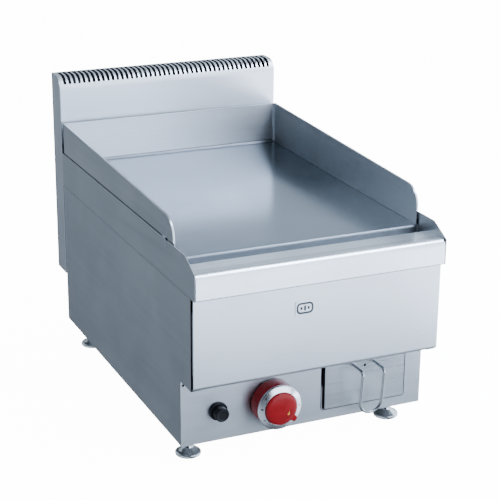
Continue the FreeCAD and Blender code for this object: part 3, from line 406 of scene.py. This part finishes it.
def helix(bm, section, start, pitch, turns, steps, matrix):
    """A (radius, height) section in mm swept along a helix about the matrix's z axis, ends closed."""
    rings = []
    for k in range(int(turns * steps) + 1):
        a = 2 * math.pi * k / steps
        rise = start + pitch * k / steps
        points = [Vector((r * math.cos(a), r * math.sin(a), h + rise)) for r, h in section]
        rings.append([bm.verts.new(matrix @ (point * MM)) for point in points])
    count = len(section)
    for a, b in zip(rings, rings[1:]):
        for k in range(count):
            bm.faces.new((a[k], a[(k + 1) % count], b[(k + 1) % count], b[k]))
    bm.faces.new(rings[0])
    bm.faces.new(list(reversed(rings[-1])))


def ring_section(radius, wire, points=10):
    """Round wire section at a coil radius."""
    turns = [2 * math.pi * k / points for k in range(points)]
    return [(radius + wire * math.cos(a), wire * math.sin(a)) for a in turns]


def rounded_profile(points, radius, steps=4):
    """The closed profile with each corner rounded, except on the axis."""
    result = []
    count = len(points)
    for k, point in enumerate(points):
        p = Vector(point)
        if point[0] < ON_AXIS:
            result.append(tuple(p))
            continue
        before, after = Vector(points[k - 1]), Vector(points[(k + 1) % count])
        room = min((before - p).length, (after - p).length) * 0.45
        cut = min(radius, room)
        start = p + (before - p).normalized() * cut
        end = p + (after - p).normalized() * cut
        for i in range(steps + 1):
            t = i / steps
            q = start * (1 - t) ** 2 + p * 2 * t * (1 - t) + end * t ** 2
            result.append((q.x, q.y))
    return result


def plate_from_outline(bm, outline, height, thickness, matrix, edge=0.12):
    """A raised flat shape with a softened upper edge; outline in mm, height is its lower face."""
    count = len(outline)
    layers = []
    for inset, z in ((0.0, height), (0.0, height + thickness - edge), (edge, height + thickness)):
        layer = []
        for k, p in enumerate(outline):
            p = Vector(p)
            d = (Vector(outline[(k + 1) % count]) - Vector(outline[k - 1])).normalized()
            q = p + Vector((-d.y, d.x)) * inset
            layer.append(bm.verts.new(matrix @ (Vector((q.x, q.y, z)) * MM)))
        layers.append(layer)
    for low, high in zip(layers, layers[1:]):
        for k in range(count):
            bm.faces.new((low[k], low[(k + 1) % count], high[(k + 1) % count], high[k]))
    bm.faces.new(layers[-1])
    bm.faces.new(list(reversed(layers[0])))


# ---------------------------------------------------------------- sheet metal

# Nodes made of sheet or cut metal: finish, and width of the broken edges in mm.
SHEETS = {
    "front_fascia": ("stainless_x", 0.5),
    "control_panel": ("stainless_x", 0.4),
    # The worktop front and the grease chute get the lighter copy, a painted highlight.
    "worktop_front": ("stainless_smooth_painted_highlight", 0.35),
    "grease_chute": ("stainless_smooth_painted_highlight", 0.25),
    "left_side_panel": ("stainless_y", 0.4),
    "right_side_panel": ("stainless_y", 0.4),
    "worktop_left_wall": ("stainless_y", 0.35),
    "worktop_right_wall": ("stainless_y", 0.35),
    "splash_left": ("stainless_y", 0.35),
    "splash_right": ("stainless_y", 0.35),
    "rear_panel": ("stainless_x", 0.35),
    "grease_drawer": ("drawer_steel", 0.3),
    "badge": ("badge_steel", 0.25),
    "bottom_plate": ("mill_steel", 0.3),
    "worktop_seals": ("seal_rubber", 0.3),
    "fascia_brackets": ("mill_steel", 0.3),
    "worktop_rear_rail": ("mill_steel", 0.3),
    "support_rails": ("mill_steel", 0.3),
    "drawer_runners": ("mill_steel", 0.3),
    "flue_collar": ("mill_steel", 0.3),
    "heat_shield": ("mill_steel", 0.3),
    "firebox": ("mill_steel", 0.3),
    "injector_bracket": ("mill_steel", 0.25),
    "valve_bracket": ("mill_steel", 0.25),
    "burner_brackets": ("mill_steel", 0.25),
    "hex_nuts": ("steel_hardware", 0.4),
    "floor_screws": ("steel_hardware", 0.2),
    "gas_valve_body": ("brass", 0.6),
    "injector": ("brass", 0.3),
}
# Nodes that keep their CAD mesh.
PLAIN_NODES = {
    "burner_tube_left": "mill_steel",
    "burner_tube_right": "mill_steel",
    "burner_manifold": "mill_steel",
    "venturi_tube": "mill_steel",
    "pilot_burner": "brass",
    "gas_feed_pipe": "copper",
    "burner_pipe": "copper",
    "pilot_pipe": "copper",
    "thermocouple": "copper",
    "spark_electrode": "ceramic",
    "ignition_wire": "wire_silicone",
    "drawer_handle": "wire_steel",
    "valve_stem": "steel_hardware",
    "spring_seat": "steel_hardware",
}
FLUE_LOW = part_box("flue_front")[0]
FLUE_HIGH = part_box("flue_back")[1]


def inside_flue(centre, normal):
    """True on the faces that look into the flue's duct."""
    below_slots = FLUE_HIGH.z - 30 * MM
    middle = Vector((centre.x, (FLUE_LOW.y + FLUE_HIGH.y) / 2, min(centre.z, below_slots)))
    if abs(normal.x) > 0.9:
        return centre.x * normal.x < 0 or abs(centre.x) < FLUE_HIGH.x - 2 * MM
    return (middle - centre).dot(normal) > 0.3 * (middle - centre).length


def plate_front(centre, normal):
    """True on the cooking plate's front and underside, which are ground but not polished, and painted
    darker than the plate as shade.
    """
    return normal.y < -0.1 or normal.z < -0.5


def welded_foot(centre, normal):
    """True on the ground weld along the foot of the back splash, which is painted dark as shade."""
    return normal.y < -0.1 and 0.1 < normal.z < 0.98


for node, (finish, edge) in SHEETS.items():
    skin(node, finish, edge)
# Faces that look into the flue's duct get the painted shade finish.
skin("flue_front", "stainless_x", 0.25, second="duct_painted_shade", is_second=inside_flue)
skin("flue_back", "stainless_x", 0.4, second="duct_painted_shade", is_second=inside_flue)
skin("flue_side_caps", "stainless_z", 0.4, second="duct_painted_shade", is_second=inside_flue)
# The weld at the foot of the back splash gets the finish painted dark as shade.
skin("splash_back", "stainless_x", 0.25, second="ground_weld_painted_shade", is_second=welded_foot)
# The plate's front and underside get the ground finish, painted darker as shade.
skin("griddle_plate", "polished_plate", 0.5, second="plate_edge_painted_shade", is_second=plate_front)
for node, finish in PLAIN_NODES.items():
    finish_node(node, finish)


# ---------------------------------------------------------------- turned and wound pieces

def turned(name, profile, matrix, body, finish, node=None, steps=96, soft=0.5):
    """A turned piece from a closed (radius, height) profile whose corners are rounded."""
    bm = bmesh.new()
    lathe(bm, rounded_profile(profile, soft), steps, matrix)
    piece = add_object(name, mesh_of(bm, name), body, finish, 50.0)
    if node:
        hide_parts(node)
    return piece


def axis_frame(node, direction, up=(0, 0, 1)):
    """Matrix at the middle of a node, but along the direction at the row frame's origin."""
    low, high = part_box(node)
    centre = (low + high) / (2 * MM)
    along = Vector(direction)
    return frame_matrix(centre - along * centre.dot(along), direction, up)


def half_width(node):
    """Half of a node's size along X, in mm."""
    low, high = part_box(node)
    return (high.x - low.x) / (2 * MM)


def reach(node, direction):
    """Nearest and farthest place of a node along a direction, in mm."""
    along = Vector(direction)
    ends = sorted(corner.dot(along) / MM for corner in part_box(node))
    return ends[0], ends[1]


def knob():
    """Red skirt, bevelled chrome ring with dial marks, and a domed cap with its pointer."""
    front = (0, -1, 0)
    at = axis_frame("knob_ring", front)
    back, seat = reach("knob_body", front)
    radius = half_width("knob_ring")
    ring_top = reach("knob_ring", front)[1]
    cap_top = reach("knob_cap", front)[1]
    rim = cap_top - CAP_DOME

    skirt = [(STEM_HOLE, back + 2), (8, back + 2), (8, seat - 3), (radius - 3.2, seat - 3),
             (radius - 3.6, back), (radius - 1.4, back), (radius - 0.6, back + 2),
             (radius - 0.2, seat), (STEM_HOLE, seat)]
    turned("knob_skirt", skirt, at, "knob", "knob_red", "knob_body", 128, 0.6)

    inner = CAP_RADIUS + 0.4
    shoulder = seat + 3.6
    ring = [(inner, seat), (radius, seat), (radius, seat + 2.6), (radius - 0.8, shoulder),
            (inner + 0.8, ring_top), (inner, ring_top - 0.4)]
    turned("knob_bezel", ring, at, "knob", "knob_chrome", "knob_ring", 128, 0.35)

    bm = bmesh.new()
    dome = [(0, seat), (CAP_RADIUS, seat), (CAP_RADIUS, rim)]
    for degrees in range(8, 90, 6):
        angle = math.radians(degrees)
        dome.append((CAP_RADIUS * math.cos(angle) ** 0.8, rim + CAP_DOME * math.sin(angle)))
    lathe(bm, dome + [(0, cap_top)], 128, at)
    turn = Matrix.Rotation(-math.radians(POINTER_TURN), 4, "Z")
    tab = [(-5.4, 14), (5.4, 14), (5.0, 24.5), (4.2, 29.5),
           (2.9, 31), (-2.9, 31), (-4.2, 29.5), (-5.0, 24.5)]
    plate_from_outline(bm, tab, rim - 1.0, 2.4, at @ turn, 0.7)
    cap = add_object("knob_face", mesh_of(bm, "knob_face"), "knob", "knob_red", 40.0)
    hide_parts("knob_cap")

    tilt = math.atan2(ring_top - shoulder, radius - 0.8 - inner - 0.8)
    middle = (radius + inner) / 2
    height = (shoulder + ring_top) / 2 - 0.05
    place = Matrix.Translation(Vector((0, middle, height)) * MM)
    lean = Matrix.Rotation(-tilt, 4, "X")
    bm = bmesh.new()
    for clock, size, shape in DIAL_MARKS:
        turn = Matrix.Rotation(-math.radians(clock * 30), 4, "Z")
        outline = [(x * size, y * size) for x, y in shape]
        plate_from_outline(bm, outline, 0.0, 0.14, at @ turn @ place @ lean, 0.04)
    add_object("knob_dial_marks", mesh_of(bm, "knob_dial_marks"), "knob", "dial_ink",
               40.0)

    bm = bmesh.new()
    place = Matrix.Translation(Vector((10.0, -5.5, rim + 2.6)) * MM)
    outline = [(x * FLAME_SIZE, y * FLAME_SIZE) for x, y in FLAME]
    plate_from_outline(bm, outline, 0.0, 0.35, at @ place, 0.08)
    add_object("knob_flame_mark", mesh_of(bm, "knob_flame_mark"), "knob", "flame_ink", 40.0)


def drop_outline(width, height, lean, steps=10):
    """Generic flame outline: a round foot that narrows to a leaning tip."""
    points = []
    for k in range(2 * steps):
        t = math.pi * k / steps
        narrow = (1 + math.cos(t)) / 2
        x = width * math.sin(t) * (1 - 0.75 * narrow ** 1.5)
        points.append((-x + lean * narrow ** 3, height * math.cos(t)))
    return points


def disc_outline(radius, steps=16):
    """Counter-clockwise regular outline round the origin."""
    turns = [2 * math.pi * k / steps for k in range(steps)]
    return [(radius * math.cos(a), radius * math.sin(a)) for a in turns]


STEM_HOLE = 4.05
CAP_RADIUS = 25.0
CAP_DOME = 3.2
POINTER_TURN = 131.0
FLAME = drop_outline(0.62, 1.0, 0.18)
FLAME_SIZE = 4.2
DISC = disc_outline(1.0)
# Each mark's place on the dial, as the hour of a clock, its size in mm and its outline.
DIAL_MARKS = [(3.0, 1.5, DISC), (5.6, 1.9, FLAME), (8.0, 2.0, FLAME), (9.2, 2.6, FLAME),
              (10.3, 1.6, DISC)]


def igniter():
    """Bezel and barrel of the igniter, and its dished push button."""
    front = (0, -1, 0)
    at = axis_frame("igniter_button", front)
    barrel_end, face = reach("igniter_housing", front)
    back, top = reach("igniter_button", front)
    radius = half_width("igniter_button")
    bezel = half_width("igniter_housing")
    barrel = bezel - 1.6
    bore = radius + 0.3
    panel = face - 6
    step = barrel_end + 37
    housing = [(bore, face), (bezel - 1.2, face), (bezel, face - 1.2), (bezel, panel),
               (barrel, panel), (barrel, step), (7, step), (7, barrel_end), (0, barrel_end),
               (0, step + 4), (bore, step + 4)]
    turned("igniter_bezel", housing, at, "casing", "black_plastic",
           "igniter_housing", 96, 0.5)
    button = [(0, top - 0.7), (radius - 3.6, top - 0.7), (radius - 2.8, top), (radius - 1.4, top),
              (radius, top - 1.4), (radius, back), (7.6, back), (7.6, top - 4), (0, top - 4)]
    turned("igniter_cap", button, at, "igniter_push_button", "black_plastic",
           "igniter_button", 96, 0.6)


def springs():
    """Return springs of the tap and of the igniter, wound from round wire."""
    rear = (0, 1, 0)
    for node, wire, turns, joint, travel in (("valve_spring", 0.45, 2.4, "knob_push", 3.0),
                                             ("igniter_spring", 0.5, 9.0, "igniter_push", 6.0)):
        start, end = reach(node, rear)
        radius = half_width(node) - wire
        at = axis_frame(node, rear)
        bm = bmesh.new()
        room = end - start - 2 * wire
        helix(bm, ring_section(radius, wire), start + wire, room / turns, turns, 32, at)
        name = node + "_coil"
        piece = add_object(name, mesh_of(bm, name), "casing", "steel_hardware", 60.0)
        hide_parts(node)
        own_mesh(piece)


def feet():
    """Chromed feet: a dished disc that narrows to a collar, on a threaded stem."""
    pitch = 1.5
    for corner in ("front_left", "front_right", "rear_left", "rear_right"):
        node = "foot_" + corner
        radius = half_width(node)
        top = reach(node, (0, 0, 1))[1]
        at = axis_frame(node, (0, 0, 1), (0, 1, 0))
        profile = [(0, 0), (radius - 2.2, 0), (radius - 0.5, 1.2), (radius, 3), (radius, 5.2),
                   (radius - 1.4, 6.6), (radius - 5.0, 8.4), (10.5, 11.4), (8.4, 13.0),
                   (7.2, 16.4), (4.35, 16.5), (4.35, top - 1), (3.6, top), (0, top)]
        bm = bmesh.new()
        lathe(bm, rounded_profile(profile, 0.7), 96, at)
        ridge = [(4.2, -0.7), (5.0, -0.12), (5.0, 0.12), (4.2, 0.7)]
        helix(bm, ridge, 17.6, pitch, (top - 20) / pitch, 28, at)
        piece = add_object(node + "_chromed", mesh_of(bm, node), "levelling_" + node,
                           "foot_chrome", 40.0)
        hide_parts(node)


def gas_inlet():
    """Brass inlet with its thread cut as a helix."""
    rear = (0, 1, 0)
    at = axis_frame("gas_inlet_nipple", rear)
    start, end = reach("gas_inlet_nipple", rear)
    flange = half_width("gas_inlet_nipple")
    panel = reach("rear_panel", rear)[0]
    crest, root, pitch = 10.45, 9.35, 1.814
    thread_start = end - 15
    bore, neck = 7, 9.9
    profile = [(bore, start), (flange, start), (flange, panel), (neck, panel), (neck, thread_start),
               (root, thread_start + 0.5), (root, end - 0.8), (root - 0.8, end), (bore, end)]
    bm = bmesh.new()
    lathe(bm, rounded_profile(profile, 0.3), 96, at)
    ridge = [(root - 0.2, -0.85), (crest, -0.14), (crest, 0.14), (root - 0.2, 0.85)]
    helix(bm, ridge, thread_start + 1.4, pitch, (end - thread_start - 2.6) / pitch, 48, at)
    piece = add_object("gas_inlet_threaded", mesh_of(bm, "gas_inlet"), "casing", "brass", 40.0)
    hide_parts("gas_inlet_nipple")


def rounded_rectangle(width, height, radius, steps=5):
    """Counter-clockwise outline round the origin."""
    points = []
    for quarter, (sx, sy) in enumerate(((1, 1), (-1, 1), (-1, -1), (1, -1))):
        for k in range(steps + 1):
            a = math.pi / 2 * (quarter + k / steps)
            points.append((sx * (width / 2 - radius) + radius * math.cos(a),
                           sy * (height / 2 - radius) + radius * math.sin(a)))
    return points


def badge_mark():
    """Generic printed sign on the badge: a rounded frame round three upright strokes."""
    front = (0, -1, 0)
    at = axis_frame("badge", front)
    face = reach("badge", front)[1] - 0.02
    thick = 0.09
    bm = bmesh.new()
    outside = rounded_rectangle(27.0, 17.5, 6.5)
    inside = rounded_rectangle(21.0, 11.5, 3.8)
    loops = []
    for outline, height in ((outside, 0.0), (outside, thick), (inside, thick), (inside, 0.0)):
        points = [Vector((x, y, face + height)) * MM for x, y in outline]
        loops.append([bm.verts.new(at @ point) for point in points])
    count = len(outside)
    for a, b in zip(loops, loops[1:] + loops[:1]):
        for k in range(count):
            bm.faces.new((a[k], a[(k + 1) % count], b[(k + 1) % count], b[k]))
    for x, height in ((-5.8, 4.8), (0.0, 8.0), (5.8, 4.8)):
        stroke = rounded_rectangle(3.4, height, 1.4)
        plate_from_outline(bm, stroke, face, thick, at @ Matrix.Translation((x * MM, 0, 0)), 0.03)
    add_object("badge_sign", mesh_of(bm, "badge_sign"), "casing", "badge_ink", 40.0)


knob()
igniter()
springs()
feet()
gas_inlet()
badge_mark()


# ---------------------------------------------------------------- camera, lights and floor

# Fitted to the edges of the object in the photograph.
CAMERA_PLACE = (-0.8961, -2.0473, 1.0186)
CAMERA_AIM = (0.0209, -0.0190, 0.2341)
CAMERA_LENS = 104.69
CAMERA_ROLL = 0.5
LAMP_COLOR = (0.89, 1.0, 1.21)
SKY_COLOR = (0.86, 1.0, 1.18)
SKY_AMBIENT = 0.02


def camera():
    """The photograph's view: a long lens from the front left, a little above."""
    data = bpy.data.cameras.new("camera")
    data.sensor_width = 36.0
    data.lens = CAMERA_LENS
    data.clip_start = 0.05
    data.clip_end = 60.0
    item = bpy.data.objects.new("camera", data)
    bpy.context.scene.collection.objects.link(item)
    place = Vector(CAMERA_PLACE)
    aim = (Vector(CAMERA_AIM) - place).normalized()
    level = aim.cross(Vector((0, 0, 1))).normalized()
    upright = level.cross(aim)
    roll = math.radians(CAMERA_ROLL)
    right = level * math.cos(roll) + upright * math.sin(roll)
    up = upright * math.cos(roll) - level * math.sin(roll)
    item.matrix_world = Matrix.Translation(place) @ Matrix((right, up, -aim)).transposed().to_4x4()
    bpy.context.scene.camera = item


def softbox(name, place, aim, width, height, radiance):
    """Rectangular light of a given brightness, which the camera doesn't see."""
    data = bpy.data.lights.new(name, "AREA")
    data.shape = "RECTANGLE"
    data.size, data.size_y = width, height
    data.energy = radiance * math.pi * width * height
    data.color = LAMP_COLOR
    item = bpy.data.objects.new(name, data)
    bpy.context.scene.collection.objects.link(item)
    item.location = place
    item.rotation_euler = (Vector(aim) - Vector(place)).to_track_quat("-Z", "Y").to_euler()
    item.visible_camera = False


def floor():
    """Plain pale floor with a round wall far off; it lights neither the object nor its reflections."""
    bm = bmesh.new()
    radius, height, sides = 14.0, 12.0, 64
    turns = [2 * math.pi * k / sides for k in range(sides)]
    foot = [bm.verts.new((radius * math.cos(a), radius * math.sin(a), 0)) for a in turns]
    head = [bm.verts.new((radius * math.cos(a), radius * math.sin(a), height)) for a in turns]
    bm.faces.new(foot)
    for k in range(sides):
        bm.faces.new((foot[k], foot[k - 1], head[k - 1], head[k]))
    mesh = mesh_of(bm, "floor")
    s = Shader("pale_floor", (0.86, 0.87, 0.88), roughness=0.9)
    shade = s.noise(1.3, 2.0)
    s.bsdf.inputs["Emission Color"].default_value = (1.0, 1.0, 1.0, 1)
    s.bsdf.inputs["Emission Strength"].default_value = 14.0
    s.bsdf.inputs["Specular IOR Level"].default_value = 0.0
    s.paint(s.mix(shade, (0.85, 0.86, 0.87), (0.87, 0.88, 0.89)))
    mesh.materials.append(s.material)
    item = bpy.data.objects.new("floor", mesh)
    bpy.context.scene.collection.objects.link(item)
    item.location.z = -0.0002
    item.visible_glossy = False
    item.visible_diffuse = False
    item.visible_shadow = False


def toward(azimuth, elevation):
    """Unit vector; azimuth 0 is +Y, behind the object, and 90 is +X."""
    a, e = math.radians(azimuth), math.radians(elevation)
    return (math.sin(a) * math.cos(e), math.cos(a) * math.cos(e), math.sin(e))


def sky(glows, tightness):
    """Dark studio with large glows, each of (azimuth, elevation, brightness); tighter is smaller."""
    world = bpy.data.worlds.new("studio")
    bpy.context.scene.world = world
    world.use_nodes = True
    tree = world.node_tree
    background = tree.nodes["Background"]
    direction = tree.nodes.new("ShaderNodeTexCoord").outputs["Generated"]

    def math_node(operation, first, second=0.0):
        """Math node whose inputs are sockets or numbers; gives its output socket."""
        node = tree.nodes.new("ShaderNodeMath")
        node.operation = operation
        for socket, value in zip(node.inputs, (first, second)):
            if isinstance(value, float):
                socket.default_value = value
            else:
                tree.links.new(value, socket)
        return node.outputs[0]

    total = SKY_AMBIENT
    for azimuth, elevation, brightness in glows:
        facing = tree.nodes.new("ShaderNodeVectorMath")
        facing.operation = "DOT_PRODUCT"
        facing.inputs[1].default_value = toward(azimuth, elevation)
        tree.links.new(direction, facing.inputs[0])
        fall = math_node("MULTIPLY", math_node("SUBTRACT", facing.outputs["Value"], 1.0), tightness)
        glow = math_node("MULTIPLY", math_node("EXPONENT", fall), brightness)
        total = math_node("ADD", glow, total)
    tree.links.new(total, background.inputs["Strength"])
    background.inputs["Color"].default_value = (*SKY_COLOR, 1)


# Glows in the sky, tuned against the photograph: azimuth, elevation and brightness.
RIGHT_WALL = (104, -20, 3.2)
RIGHT_BACK = (72, 32, 1.7)
RIGHT_HIGH = (108, 32, 1.3)
RIGHT_BACK_LOW = (72, 8, 1.1)
BACK = (30, 14, 0.75)
LEFT_BACK = (312, 4, 0.75)
LEFT_WALL = (262, -20, 1.1)
FRONT_LEFT_LOW = (215, -40, 0.95)
LEFT_BACK_HIGH = (322, 28, 0.55)
CEILING = (0, 88, 0.45)
GLOWS = (RIGHT_WALL, RIGHT_BACK, RIGHT_HIGH, RIGHT_BACK_LOW, BACK, LEFT_BACK, LEFT_BACK_HIGH,
         LEFT_WALL, FRONT_LEFT_LOW, CEILING)

camera()
sky(GLOWS, 9.0)
floor()
softbox("key_front", (1.1, -2.6, 2.3), (0.0, 0.0, 0.25), 2.4, 1.4, 3.0)
softbox("front_wall", (1.05, -2.7, 0.75), (0.0, 0.0, 0.4), 2.2, 1.3, 4.2)
softbox("front_table", (1.35, -1.6, 0.003), (1.35, -1.6, 1.0), 2.8, 1.6, 4.6)
softbox("right_table", (1.05, -0.5, 0.003), (1.05, -0.5, 1.0), 1.2, 0.8, 4.0)
softbox("overhead", (1.1, -0.95, 2.5), (1.1, -0.95, 0.0), 0.9, 1.2, 22.0)
